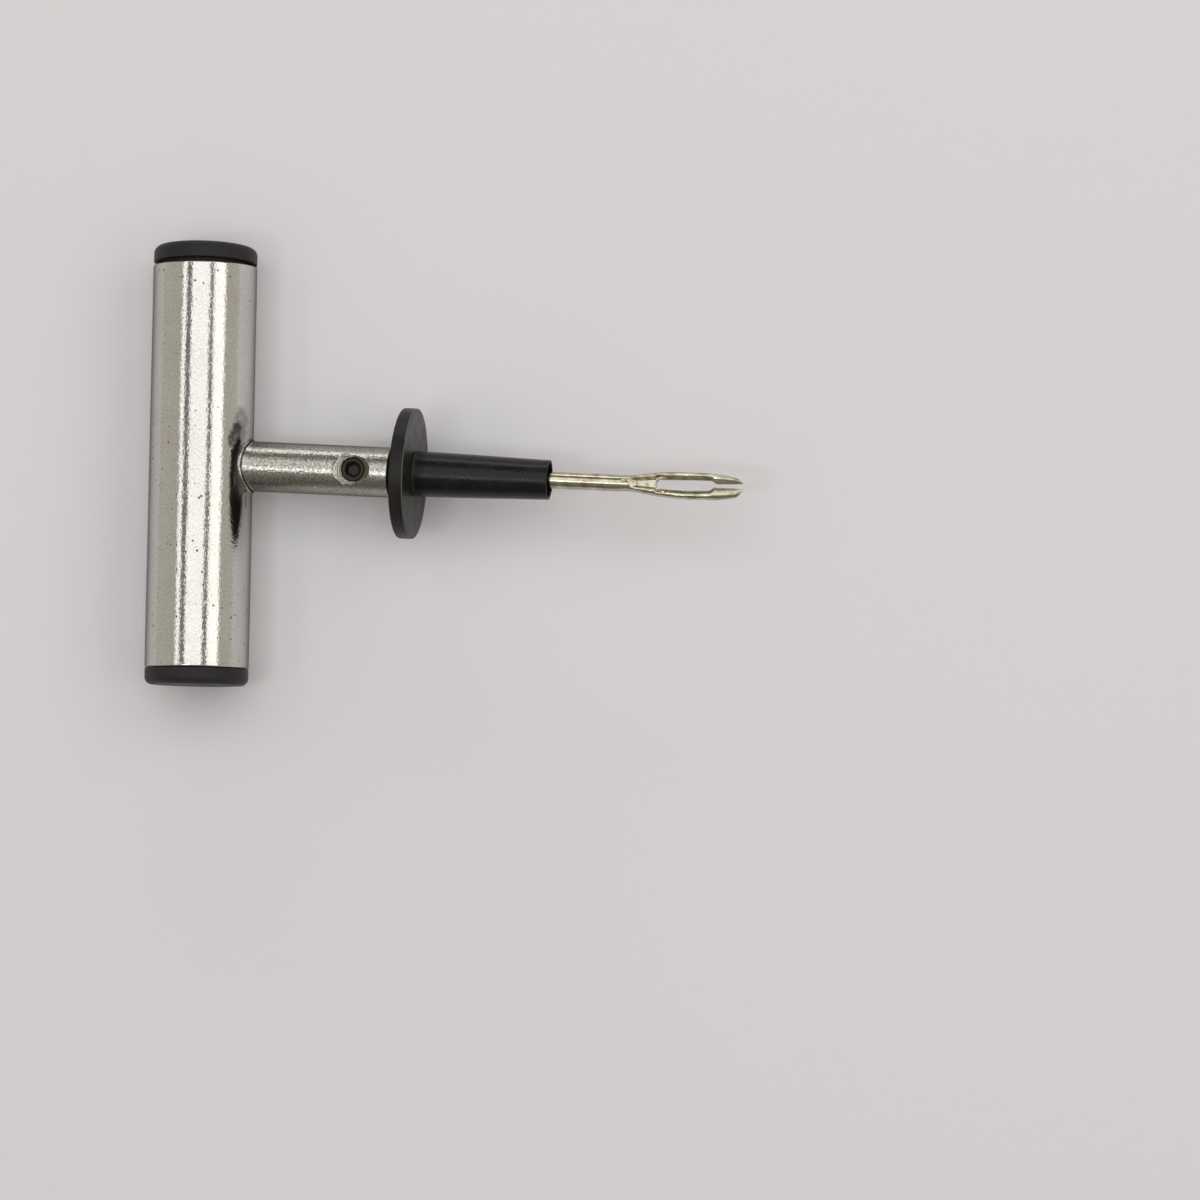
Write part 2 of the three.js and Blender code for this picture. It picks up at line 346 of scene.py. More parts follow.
# %% Plated steel
def plated_steel(name, plate, speckle, grain_depth, roughness, stains):
    """Plated steel: two tones, how much its crystals sparkle, the grain's depth in mm, a
    roughness, and stains as (vertex number, colour, size of the fraying in mm, strength)."""
    material, tree, shader, place = material_start(name)
    cloud = add(tree, "TexNoise", None, at_size(place, 11, 5.0))
    colour = add(tree, "Mix", RGBA, {
        "Factor": cloud, 6: linear(plate[0]), 7: linear(plate[1])}).outputs[2]
    crystals = add(tree, "TexNoise", None, at_size(place, 0.42, 1.0))
    sparkle = add(tree, "MapRange", None, {"Value": crystals, "From Min": 0.3, "From Max": 0.7})
    colour = add(tree, "Mix", {"data_type": "RGBA", "blend_type": "OVERLAY"}, {
        "Factor": speckle, 6: colour, 7: sparkle}).outputs[2]

    cells = add(tree, "TexVoronoi", None, at_size(place, 1.9, 0.0))
    groups = add(tree, "TexNoise", None, at_size(place, 13, 1.0))
    size = add(tree, "MapRange", None, {
        "Value": groups, "From Min": 0.40, "From Max": 0.62, "To Min": 0.03, "To Max": 0.17})
    depth = add(tree, "Math", {"operation": "DIVIDE"}, {0: cells, 1: size})
    pits = add(tree, "MapRange", EASED, {
        "Value": depth, "From Min": 0.55, "From Max": 1.2, "To Min": 0.9, "To Max": 0.0})
    marks = [(pits, PIT_COLOUR)]
    for number, tone, size_mm, strength in stains:
        marks.append((frayed(tree, place, number, size_mm, strength), tone))

    bare = None
    for mask, tone in marks:
        colour = add(tree, "Mix", RGBA, {
            "Factor": mask, 6: colour, 7: linear(tone)}).outputs[2]
        if bare is None:
            bare = mask
        else:
            bare = add(tree, "Math", {"operation": "MAXIMUM"}, {0: bare, 1: mask})
    metal = add(tree, "MapRange", None, {"Value": bare, "To Min": 1.0, "To Max": 0.3})
    rubbed = add(tree, "MapRange", None, {
        "Value": cloud, "To Min": roughness - 0.05, "To Max": roughness + 0.05})
    matt = add(tree, "Mix", None, {"Factor": bare, 2: rubbed, 3: 0.45})

    wave = add(tree, "TexNoise", None, at_size(place, 9, 1.0))
    grain = add(tree, "TexNoise", None, {**at_size(place, 0.65, 2.0), "Roughness": 0.55})
    waved = add(tree, "Bump", None, {"Height": wave, "Distance": 0.04 * METRE})
    grained = add(tree, "Bump", None, {
        "Height": grain, "Distance": grain_depth * METRE, "Normal": waved})
    pitted = add(tree, "Bump", {"invert": True}, {
        "Height": pits, "Distance": 0.01 * METRE, "Normal": grained})
    # The specular tint is a painted reflection: grazing reflections come out dimmer and mauve.
    connect(tree, shader, {
        "Base Color": colour, "Metallic": metal, "Roughness": matt,
        "Specular Tint": linear(PAINTED_EDGE_REFLECTION), "Normal": pitted})
    return material


# %% [markdown]
# ## The handle tube
#
# A length of welded steel tube, cut square, deburred and plated. It is turned from its wall
# section, a rectangle with tiny rounds, so inside and outside are one closed skin. The drawn
# wall is never a perfect cylinder: long waves of about a hundredth of a millimetre make the
# reflected bands wander a little as they do on real tube.

# %% Handle tube
WELD_ZONE = 16      # half the length with closer rows, where the weld's stains lie
TUBE_INSET = 0.034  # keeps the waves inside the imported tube's many-sided outline
TUBE_WAVE = 0.006


def wandering(length, angle, amplitude):
    """Long shallow waves: a sum of three sines of place along and round a tube, in mm."""
    return amplitude * (
        np.sin(length / 7.3 + 2 * angle)
        + 0.6 * np.sin(length / 3.1 - 3 * angle + 1.1)
        + 0.4 * np.sin(length / 15.0 + 5 * angle + 2.3)
    )


def tube_rings():
    """The wall's section, turned: radius cos, length, radius sin. Rows crowd near the weld."""
    inner = TUBE_RADIUS - TUBE_WALL
    section = rounded([
        (inner, -TUBE_HALF, 0.2), (TUBE_RADIUS, -TUBE_HALF, 0.25),
        (TUBE_RADIUS, -WELD_ZONE, 0), (TUBE_RADIUS, WELD_ZONE, 0),
        (TUBE_RADIUS, TUBE_HALF, 0.25), (inner, TUBE_HALF, 0.2),
    ], steps=3, closed=True)
    near = (np.abs(section[:, 1]) <= WELD_ZONE) & (section[:, 0] > TUBE_RADIUS - 0.01)
    first = int(np.flatnonzero(near)[0])
    section = np.vstack([
        stepped(section[:first + 1], 1.6)[:-1], stepped(section[first:first + 2], 0.3)[:-1],
        stepped(np.vstack([section[first + 1:], section[:1]]), 1.6)[:-1],
    ])
    radius, angle, length = turned(section, 256)
    outside = smooth(radius, inner + 0.5, TUBE_RADIUS - 0.5)
    radius = radius - TUBE_INSET + outside * wandering(length, angle, TUBE_WAVE)
    return np.stack([radius * np.cos(angle), length, radius * np.sin(angle)], -1)


# %% [markdown]
# The weld's heat left a brown haze towards the upper cap, with a dark smudge on the side that faces
# up, and there is an olive patch towards the lower cap. Each is an ellipse measured along the tube
# in millimetres and round it in degrees.

# %% Weld stains on the tube
def weld_stains(rings):
    """0 to 1 at each point: brown heat haze, dark smudge and olive patch."""
    side, length, height = rings[..., 0], rings[..., 1], rings[..., 2]
    angle = np.degrees(np.arctan2(side, height))
    outer = np.hypot(side, height) > TUBE_RADIUS - 0.1

    def blob(mid_length, mid_angle, half_length, half_angle):
        """One half on an ellipse, rising to 1 inside it and falling to 0 outside."""
        away = np.hypot((length - mid_length) / half_length, (angle - mid_angle) / half_angle)
        return outer * (1 - smooth(away, 0.3, 1.7))

    smudge = np.maximum(blob(6.3, 49, 2.6, 6), blob(8.4, 55, 2.0, 9))
    return {"heat_haze": blob(10, 63, 4.2, 14), "smudge": smudge,
            "olive_patch": blob(-8.2, 74.5, 2.2, 3)}


tube_steel = plated_steel("bright_zinc_plated_tube", TUBE_PLATE, 0.16, 0.038, 0.09, [
    ("heat_haze", "#7C7268", 1.6, 0.6), ("smudge", "#3A3532", 1.1, 0.9),
    ("olive_patch", "#5E573E", 0.8, 0.8)])
rings = tube_rings()
handle_tube = closed_mesh("plated_handle_tube", rings, handle_line, "loop", weld_stains(rings))
declare(handle_tube, "frame", "handle_tube", tube_steel)

# %% [markdown]
# ## The end caps
#
# Each cap is one moulding: a head as wide as the tube, with a generous round, and a hollow
# spigot with two ribs that grip the bore. Its profile starts at the middle of the outer face
# and ends at the middle of the cup inside, so the surface closes on the axis at both ends.
# The lower cap is pushed home. The upper one is cocked by a couple of degrees about the point
# of its rim nearest the bench, which leaves a dark gap on the side that faces up.

# %% Dull moulded surfaces
def moulded(name, colour, dusty, roughness, grain_mm, grain_depth, patch_mm):
    """Rubber or plastic: a dark base with dusty patches, a fine grain and uneven gloss. The vertex
    number polished makes flat faces glossier, and a second vertex number paints edges paler as a
    painted highlight."""
    material, tree, shader, place = material_start(name)
    patches = add(tree, "TexNoise", None, at_size(place, patch_mm, 5.0))
    tone = add(tree, "MapRange", None, {"Value": patches, "From Min": 0.35, "From Max": 0.75})
    base = add(tree, "Mix", RGBA, {
        "Factor": tone, 6: linear(colour), 7: linear(dusty)}).outputs[2]
    dust = add(tree, "TexVoronoi", None, at_size(place, 2.4, 0.0))
    speck = add(tree, "MapRange", None, {
        "Value": dust, "From Min": 0.03, "From Max": 0.06, "To Min": 0.5, "To Max": 0.0})
    base = add(tree, "Mix", RGBA, {
        "Factor": speck, 6: base, 7: linear("#77736C")}).outputs[2]
    # Painted highlight: where the edge number is high, the base turns pale grey, a line of light
    # drawn on the edge.
    edge = add(tree, "Attribute", {"attribute_name": "painted_edge_highlight"}).outputs["Fac"]
    base = add(tree, "Mix", RGBA, {
        "Factor": edge, 6: base, 7: linear("#8A867C")}).outputs[2]
    gloss = add(tree, "MapRange", None, {
        "Value": patches, "From Min": 0.3, "From Max": 0.7,
        "To Min": roughness - 0.07, "To Max": roughness + 0.07})
    face = add(tree, "Attribute", {"attribute_name": "polished"}).outputs["Fac"]
    share = add(tree, "MapRange", None, {"Value": face, "To Min": 1.0, "To Max": 0.8})
    polished = add(tree, "Math", {"operation": "MULTIPLY"}, {0: gloss, 1: share})
    grain = add(tree, "TexNoise", None, at_size(place, grain_mm, 2.0))
    grained = add(tree, "Bump", None, {"Height": grain, "Distance": grain_depth * METRE})
    connect(tree, shader, {
        "Base Color": base, "Roughness": polished, "IOR": 1.33, "Normal": grained})
    return material


# Matt moulded polyethylene: dark grey with a broad, dull sheen.
cap_material = moulded("matt_moulded_polyethylene", "#232221", "#2B2A28", 0.52, 0.35, 0.03, 6)


# %% End caps
def cap_rings():
    """Half the cap's outline, turned about its axis: radius cos, length, radius sin."""
    rib_pitch = SPIGOT_LENGTH / 3
    ribs = [
        corner
        for y in (-rib_pitch, -2 * rib_pitch)
        for corner in ((SPIGOT_CORE, y + SPIGOT_RIB, 0), (SPIGOT_CORE + SPIGOT_RIB, y, 0.1),
                       (SPIGOT_CORE, y - SPIGOT_RIB, 0))
    ]
    profile = rounded([
        (0, CAP_HEAD, 0), (CAP_RADIUS, CAP_HEAD, CAP_ROUND), (CAP_RADIUS, 0, 0.25),
        (SPIGOT_CORE, 0, 0.15), *ribs, (SPIGOT_CORE - SPIGOT_RIB, -SPIGOT_LENGTH, 0.2),
        (SPIGOT_BORE, -SPIGOT_LENGTH, 0.2), (SPIGOT_BORE, 0, 0.4), (0, 0, 0),
    ], steps=10)
    radius, angle, length = turned(stepped(profile, 1.0), 160)
    return np.stack([radius * np.cos(angle), length, radius * np.sin(angle)], -1)


def end_cap(name, node, place):
    """A cap whose rings are moved by place, a function from the cap's own mm to the handle's."""
    piece = closed_mesh(name, place(cap_rings()), handle_line, "poles")
    declare(piece, "frame", node, cap_material)


def lower_place(points):
    """Turned over and set against the tube's lower end."""
    return points * (1, -1, -1) + (0, -TUBE_HALF - CAP_SEAT_GAP, 0)


def upper_place(points):
    """Tipped by CAP_TILT about the lowest point of the rim, then set on the upper end."""
    x, y, z = points[..., 0], points[..., 1], points[..., 2] + CAP_RADIUS
    cosine, sine = math.cos(CAP_TILT), math.sin(CAP_TILT)
    return np.stack([
        x,
        TUBE_HALF + CAP_SEAT_GAP + y * cosine + z * sine,
        z * cosine - y * sine - CAP_RADIUS,
    ], -1)


end_cap("lower_end_plug", "end_cap_lower", lower_place)
end_cap("upper_end_plug", "end_cap_upper", upper_place)

# %% [markdown]
# ## The shank
#
# A solid bar, coped to sit on the tube and drilled from its far end for the needle. The set
# screw's hole comes in from the top, with a rough countersink that the drill tore on one side.
# The bar is a grid of rings along its length. Round the hole the square cells of the grid
# are bent into circles about the hole, so that its edges follow grid lines and stay crisp.

# %% Where the shank meets the tube
def tube_reach(y, z, radius):
    """How far along the shank's line the handle's surface of that radius is, at (y, z)."""
    cosine = math.sqrt(1 - skew_sine ** 2)
    return (np.sqrt(radius ** 2 - z ** 2) - y * skew_sine) / cosine


# %% Grid round the screw's hole
SINK_RADIUS = 4.1     # countersink, measured along the top of the bar
SINK_SLOPE = 1.25     # how fast the cone widens per mm of height
HOLE_RADIUS = 2.95
PATCH = 6.4           # half the side of the bent patch of grid
# Levels are shares of the patch, from 0 at the hole's middle to 1 at the patch's border.
FLOOR_LEVEL = 0.30
BORE_LEVEL = 0.33
WALL_LEVEL = 0.335
MOUTH_LEVEL = 0.345   # where the bore ends and the cone starts
SINK_LEVEL = 0.63     # the cone's outer edge
CIRCLE_LEVEL = 0.82   # rings are true circles up to here


def ragged(angle, waves, seed):
    """A closed wandering line of zero mean: sines of 2 to waves turns with random phases."""
    local = np.random.default_rng(seed)
    total = 0 * angle
    for k in range(2, waves):
        total = total + np.sin(k * angle + local.uniform(0, 2 * math.pi)) / k ** 0.7
    return total / 2


def patch_lines():
    """Places of grid lines across the patch, -1 to 1, closer where the hole's edges fall."""
    half = np.concatenate([
        np.linspace(0, FLOOR_LEVEL, 7)[:-1], [0.325, WALL_LEVEL, MOUTH_LEVEL],
        np.linspace(0.36, 0.62, 20),
        [0.635, 0.65], np.linspace(0.70, 1, 9),
    ])
    return np.concatenate([-half[:0:-1], half])


def bent_patch(p, q):
    """Square patch coordinates to places (x from the hole, y) with circles in the middle. A
    point's level is the larger of |p| and |q|; it sets the radius, and p and q the angle."""
    ring = np.maximum(np.abs(p), np.abs(q))
    angle = np.arctan2(q, p)
    torn = np.clip(-np.cos(angle - 0.25), 0, 1) ** 1.5
    edge = SINK_RADIUS * (1 + 0.13 * torn + (0.03 + 0.035 * torn) * ragged(angle, 18, 3))
    squeeze = np.sqrt(np.cos(angle) ** 2 + (np.sin(angle) / 0.80) ** 2)
    edge = edge / squeeze
    outer = PATCH * CIRCLE_LEVEL
    in_cone = (ring - MOUTH_LEVEL) / (SINK_LEVEL - MOUTH_LEVEL)
    past_cone = (ring - SINK_LEVEL) / (CIRCLE_LEVEL - SINK_LEVEL)
    radius = np.interp(ring, (0, BORE_LEVEL), (0, HOLE_RADIUS))
    radius = np.where(ring > BORE_LEVEL, HOLE_RADIUS, radius)
    radius = np.where(ring > MOUTH_LEVEL, HOLE_RADIUS + (edge - HOLE_RADIUS) * in_cone, radius)
    radius = np.where(ring > SINK_LEVEL, edge + (outer - edge) * past_cone, radius)
    beyond = smooth(ring, CIRCLE_LEVEL - 0.12, 1)
    x = (1 - beyond) * radius * np.cos(angle) + beyond * PATCH * p
    y_square = SHANK_RADIUS * np.sin(PATCH * q / SHANK_RADIUS)
    y = (1 - beyond) * radius * np.sin(angle) + beyond * y_square
    return x, y, ring, angle


# %% Shank rings
def shank_rings():
    """Rings from the needle's bore, over the chamfered end, along the bar to its coped root."""
    lines = patch_lines()
    patch_angle = PATCH / SHANK_RADIUS
    rest = np.linspace(patch_angle, 2 * math.pi - patch_angle, 66)[1:-1]
    around = np.concatenate([lines * patch_angle, rest]) + math.pi / 2
    n_patch = len(lines)

    def ring_at(x, radius):
        x = x + 0 * around
        return np.stack([x, radius * np.cos(around), radius * np.sin(around)], -1)

    face = SHANK_RADIUS - SHANK_CHAMFER
    plain = np.linspace(SHANK_END - SHANK_CHAMFER - 0.1, SCREW_X + PATCH, 4)[:-1]
    rings = [ring_at(x, radius) for x, radius in (
        (NEEDLE_TAIL - 1, 0.0), (NEEDLE_TAIL - 1, NEEDLE_BORE), (36, NEEDLE_BORE),
        (SHANK_END - 0.2, NEEDLE_BORE), (SHANK_END, NEEDLE_BORE + 0.2), (SHANK_END, 3.6),
        (SHANK_END, face - 0.12), (SHANK_END - 0.06, face),
        *((SHANK_END - SHANK_CHAMFER * t, face + SHANK_CHAMFER * t) for t in (0.3, 0.6, 0.92)),
        *((x, SHANK_RADIUS) for x in plain),
    )]
    for p in lines[::-1]:
        ring = ring_at(SCREW_X + PATCH * p, SHANK_RADIUS)
        x, y, level, angle = bent_patch(p, -lines)
        top = np.sqrt(SHANK_RADIUS ** 2 - y ** 2)
        reach = np.hypot(x, y)
        cone = SHANK_RADIUS - (SINK_RADIUS - reach) / SINK_SLOPE
        left = smooth(-x, 0, 2.5)
        chatter = np.sin(2 * math.pi * level / 0.075 + 1.5 * ragged(angle, 8, 7))
        tear = left * (0.08 * chatter + 0.08 * ragged(angle * 3 + reach * 4, 9, 5))
        burr = (0.05 + 0.22 * left) * (0.7 + ragged(angle * 2, 12, 9))
        lip = np.exp(-((level - 0.64) / 0.022) ** 2) * np.clip(burr, 0, 0.4)
        z = np.where(level <= SINK_LEVEL, np.minimum(top, cone + tear), top) + lip
        z = np.where(level <= WALL_LEVEL, SCREW_TOP - 1.2, z)
        z = np.where(level <= FLOOR_LEVEL, SCREW_TOP - 2.4, z)
        ring[:n_patch] = np.stack([SCREW_X + x, y, z], -1)
        rings.append(ring)
    here = SCREW_X - PATCH
    root = tube_reach(SHANK_RADIUS * np.cos(around), SHANK_RADIUS * np.sin(around),
                      TUBE_RADIUS + 0.05)
    for t in np.linspace(0, 1, 26)[1:] ** 0.8:
        x = here + (root - here) * t
        flare = 0.25 * smooth(t, 0.93, 1) ** 2
        rings.append(ring_at(x, SHANK_RADIUS + flare))
    hidden = tube_reach(0, 0, TUBE_RADIUS + 0.02)
    rings.append(np.stack([np.full(len(around), hidden), 0 * around, 0 * around], -1))
    return np.stack(rings)


# %% Marks on the shank
def shank_marks(rings):
    """0 to 1 at each point: soot at the root, the cone's torn side and olive side, its dark rim,
    and a painted highlight on the burr.
    """
    x, y, z = rings[..., 0], rings[..., 1], rings[..., 2]
    turn = np.degrees(np.arctan2(y, z))
    soot = smooth(turn, 52, 66) * (1 - smooth(turn, 120, 140)) * (1 - smooth(x, 13.5, 16.5))
    reach = np.hypot(x - SCREW_X, y * 1.25)
    facing = np.arctan2(y, x - SCREW_X)
    cut = 0.75 + 0.25 * np.sin(2 * math.pi * reach / 0.42 + 2 * ragged(facing, 9, 7))
    torn_side = smooth(-np.cos(facing - 0.25), -0.15, 0.25)
    raw = cut * (z > 3) * (1 - smooth(reach, 4.5, 4.8)) * torn_side
    # Painted highlight: the burr on the side away from the needle, towards the lower cap, is marked
    # white and less metallic, a glint drawn in.
    lit = smooth(-np.cos(facing - 0.7), 0.45, 0.8) * (0.6 + 0.8 * ragged(facing * 2, 14, 9))
    burr = np.clip(lit, 0, 1) * np.exp(-((reach - 4.75) / 0.2) ** 2) * (z > 3)
    # The cone's half towards the needle is tinted olive.
    olive = (z > 3) * (1 - smooth(reach, 3.95, 4.2)) * smooth(np.cos(facing - 0.1), -0.2, 0.2)
    rim = (z > 3) * np.exp(-((reach - 4.1) / 0.2) ** 2) * smooth(np.cos(facing - 0.9), -0.3, 0.3)
    return {"root_soot": soot, "raw_cone": raw, "olive_cone": olive,
            "dark_rim": rim, "burr_highlight": burr}


# %% Shank
# The white burr mark in this list is a painted highlight.
bar_steel = plated_steel("zinc_plated_bar", BAR_PLATE, 0.3, 0.065, 0.25, [
    ("root_soot", "#45403B", 1.2, 0.8), ("raw_cone", "#DAD7CB", 0.5, 0.75),
    ("olive_cone", "#5C5843", 0.7, 0.9), ("dark_rim", "#2C2821", 0.5, 0.95),
    ("burr_highlight", "#FFFFFF", 1.5, 1.0)])
rings = shank_rings()
shank = closed_mesh("plated_shank", rings, shank_line, "poles", shank_marks(rings))
declare(shank, "frame", "shank", bar_steel)

# %% [markdown]
# ## The weld
#
# The bar was welded on before plating, so the weld is plated too: a low, uneven lip on the
# tube that follows the saddle line, with a thin crevice between it and the bar. Its section
# is a shallow hump, carried round the bar and laid on the tube's surface at every step.

# %% Weld flash
def weld_rings():
    """For each share of its width, a ring round the bar: the tube's surface plus a sine hump."""
    turn = np.arange(240) * 2 * math.pi / 240
    share = np.linspace(0, 1, 15)
    start = SHANK_RADIUS + 0.2 + 0.05 * ragged(turn, 20, 11)
    width = 0.50 + 0.08 * ragged(turn, 12, 12)
    height = 0.32 + 0.06 * ragged(turn, 16, 13)

    def ring(s, level):
        radius = start + width * s
        y, z = radius * np.cos(turn), radius * np.sin(turn)
        return np.stack([tube_reach(y, z, level), y, z], -1)

    lifts = [height * np.sin(math.pi * s ** 0.75) ** 0.8 for s in share]
    rings = [ring(s, TUBE_RADIUS + 0.02 + lift) for s, lift in zip(share, lifts)]
    return np.stack(rings + [ring(s, TUBE_RADIUS - 0.1) for s in share[-2:0:-3]])


def weld_marks(rings):
    """0 to 1 at each point: soot at the top of the root, and painted shade in the narrow gap at the
    bar.
    """
    y, z = rings[..., 1], rings[..., 2]
    turn = np.degrees(np.arctan2(y, z))
    soot = smooth(turn, 48, 66) * (1 - smooth(turn, 130, 150))
    # Painted shade: the flash's inner edge, in the narrow gap next to the bar, is darkened all
    # round.
    inner = 1 - smooth(np.hypot(y, z), SHANK_RADIUS + 0.2, SHANK_RADIUS + 0.38)
    return {"root_soot": soot, "crevice_shade": inner}


weld_steel = plated_steel("zinc_plated_weld", BAR_PLATE, 0.3, 0.07, 0.2, [
    ("root_soot", "#45403B", 0.9, 0.8), ("crevice_shade", "#2A211B", 0.5, 0.9)])
rings = weld_rings()
weld = closed_mesh("weld_flash", rings, shank_line, "loop", weld_marks(rings))
declare(weld, "frame", "weld_bead", weld_steel)

# %% [markdown]
# ## The set screw
#
# An M6 socket set screw in black oxide. Its profile runs from the middle of the socket's
# floor, up the six-sided wall, over the cup-shaped mouth, down the threads and under the tip.
# A regular hexagon's wall is a radius that varies with angle, so the same rings can change
# from a hexagon to a circle.

# %% Set screw
SOCKET_FLATS = 3.0
THREAD_PITCH = 1.0


def hexagon(angle, across_flats):
    """Distance from the centre to a hexagon's side, at an angle."""
    sixth = math.pi / 3
    return across_flats / 2 / np.cos((angle + sixth / 2) % sixth - sixth / 2)


def screw_rings():
    """Rings of radius (cos, sin) and height, from the socket's floor to the tip."""
    angle = np.arange(96) * 2 * math.pi / 96
    bottom = NEEDLE_RADIUS + 0.2
    rings = []

    def ring(radius, height):
        radius = radius + 0 * angle
        rings.append(np.stack([
            SCREW_X + radius * np.cos(angle), radius * np.sin(angle),
            height + 0 * angle], -1))

    floor_height = SCREW_TOP - 1.9
    ring(0, floor_height)
    socket = hexagon(angle, SOCKET_FLATS)
    ring(socket * 0.5, floor_height + 0.02)
    ring(socket * 0.98, floor_height + 0.05)
    ring(socket, floor_height + 0.12)
    ring(socket, SCREW_TOP - 0.5)
    ring(np.maximum(socket, 1.75), SCREW_TOP - 0.33)
    for radius, drop in ((2.0, 0.1), (2.08, 0.02), (2.2, 0), (2.55, 0), (2.64, 0.04), (2.75, 0.18)):
        ring(radius, SCREW_TOP - drop)
    height = SCREW_TOP - 0.3
    while height - THREAD_PITCH > bottom + 0.45:
        ring(SCREW_RADIUS - 0.08, height)
        ring(SCREW_RADIUS - 0.08, height - 0.12)
        ring(SCREW_RADIUS - 0.5, height - 0.5 * THREAD_PITCH)
        height -= THREAD_PITCH
    ring(SCREW_RADIUS - 0.2, bottom + 0.5)
    ring(1.6, bottom + 0.03)
    ring(1.5, bottom)
    ring(0, bottom)
    return np.stack(rings)


# %% [markdown]
# Black oxide is a thin dark film on steel, dipped in oil. Edges that a key has rubbed show a
# browner grey, so the rim of the mouth carries a number that lightens it.

# %% Black oxide
def black_oxide(name):
    """Dark oiled steel with rubbed edges where the vertex number rubbed is high."""
    material, tree, shader, place = material_start(name)
    rubbed = frayed(tree, place, "rubbed", 0.5, 0.9)
    stain = add(tree, "TexNoise", None, at_size(place, 1.2, 4.0))
    film = add(tree, "Mix", RGBA, {
        "Factor": stain, 6: linear("#1B1A19"), 7: linear("#34322C")}).outputs[2]
    colour = add(tree, "Mix", RGBA, {
        "Factor": rubbed, 6: film, 7: linear("#5A564B")}).outputs[2]
    gloss = add(tree, "MapRange", None, {"Value": stain, "To Min": 0.34, "To Max": 0.52})
    grain = add(tree, "TexNoise", None, at_size(place, 0.3, 2.0))
    grained = add(tree, "Bump", None, {"Height": grain, "Distance": 0.012 * METRE})
    connect(tree, shader, {
        "Base Color": colour, "Metallic": 0.6, "Roughness": gloss, "Normal": grained})
    return material


rings = screw_rings()
from_line = np.hypot(rings[..., 0] - SCREW_X, rings[..., 1])
rim_wear = np.exp(-((from_line - 2.12) / 0.09) ** 2) * (rings[..., 2] > SCREW_TOP - 0.1)
set_screw = closed_mesh("socket_set_screw", rings, shank_line, "poles", {"rubbed": rim_wear})
declare(set_screw, "grub_screw", "grub_screw",
        black_oxide("black_oxide_set_screw"))

# %% [markdown]
# ## The stop disc and the guard sleeve
#
# The disc is a plain moulded rubber washer with softly rounded edges. The sleeve is a length
# of soft vinyl tube pushed onto a short collar of the disc. It narrows a little towards its
# open end, where a blade cut it by hand, so the rim is not quite flat.

# %% Stop disc
def disc_rings():
    """A rounded rectangle turned about the needle, with shallow sine waves at its rim."""
    profile = rounded([
        (NEEDLE_BORE, DISC_BACK, 0.15), (DISC_RADIUS, DISC_BACK, 0.45),
        (DISC_RADIUS, DISC_FRONT, 0.35), (NEEDLE_BORE, DISC_FRONT, 0.15),
    ], steps=6, closed=True)
    profile = stepped(np.vstack([profile, profile[:1]]), 1.5)[:-1]
    radius, angle, length = turned(profile, 200)
    rim = smooth(radius, DISC_RADIUS - 3, DISC_RADIUS)
    length = length + rim * 0.05 * np.sin(2 * angle + 0.7)
    radius = radius - rim * 0.03 * (1 + np.sin(3 * angle))
    return np.stack([length, radius * np.cos(angle), radius * np.sin(angle)], -1)


rings = disc_rings()
from_axis = np.hypot(rings[..., 1], rings[..., 2])
on_face = smooth(from_axis, DISC_RADIUS - 0.3, DISC_RADIUS - 0.8)
at_front = rings[..., 0] > DISC_FRONT - 0.25
# Painted highlight: a pale line along the disc's front edge.
front_edge_highlight = np.exp(-((from_axis - DISC_RADIUS + 0.1) / 0.12) ** 2) * at_front
stop_disc = closed_mesh("rubber_stop_disc", rings, shank_line, "loop", {
    "polished": on_face, "painted_edge_highlight": 0.5 * front_edge_highlight})
# Moulded rubber: almost black and satin, a little glossier on its flat faces.
declare(stop_disc, "stop", "stop_disc",
        moulded("satin_moulded_rubber", "#161615", "#24221F", 0.42, 0.4, 0.04, 4))


# %% Guard sleeve
def sleeve_rings():
    """A wall section carried round: radius falls evenly from root to mouth, the rim wanders."""
    wall = SLEEVE_WALL
    profile = rounded([
        (SLEEVE_ROOT_RADIUS - wall, SLEEVE_START, 0.05),
        (SLEEVE_ROOT_RADIUS + 0.08, SLEEVE_START, 0.14),
        (SLEEVE_MOUTH_RADIUS, SLEEVE_END, 0.22),
        (SLEEVE_MOUTH_RADIUS - wall, SLEEVE_END, 0.15),
    ], steps=4, closed=True)
    profile = stepped(np.vstack([profile, profile[:1]]), 0.8)[:-1]
    radius, angle, length = turned(profile, 160)
    share = (length - SLEEVE_START) / (SLEEVE_END - SLEEVE_START)
    near_mouth = smooth(share, 0.93, 1)
    length = length - near_mouth * (0.22 + 0.13 * ragged(angle, 7, 21))
    radius = radius + 0.05 * near_mouth * np.sin(3 * angle + 0.5)
    radius = radius - 0.06 * np.exp(-((share - 0.05) / 0.03) ** 2)
    radius = radius + 0.03 * np.sin(5 * share + 2 * angle)
    return np.stack([length, radius * np.cos(angle), radius * np.sin(angle)], -1)


rings = sleeve_rings()
# Painted highlight: a pale ring along the sleeve's root edge.
root_edge_highlight = np.exp(-((rings[..., 0] - SLEEVE_START - 0.1) / 0.12) ** 2)
sleeve = closed_mesh("vinyl_guard_sleeve", rings, shank_line, "loop", {"painted_edge_highlight": 0.45 * root_edge_highlight})
# Extruded soft vinyl: black and smooth enough to hold a clear streak of light.
declare(sleeve, "stop", "guard_sleeve",
        moulded("soft_black_vinyl", "#121111", "#1C1A19", 0.27, 0.5, 0.035, 3))

# %% [markdown]
# ## The needle
#
# A round rod whose last part was forged flat, split and spread to make an open eye. It is made
# as two halves, one each side of the middle. A row of either half is a half section: from
# the middle or the eye's edge, over a ridge to the outside and back underneath. Past the start
# of the eye each row also gets an inner wall, which closes the tines. Where the halves touch,
# their points are merged, so the needle ends as one closed skin.

# %% Needle outlines
ROD_END = 101       # up to here the needle is a plain round rod
FOLD_X = 103.1      # a pinch that the dies left
HEAD_START = 103.9
EYE_START = 110.4
EYE_FULL = 111.4    # the eye's round end stops here
NOSE_START = 126


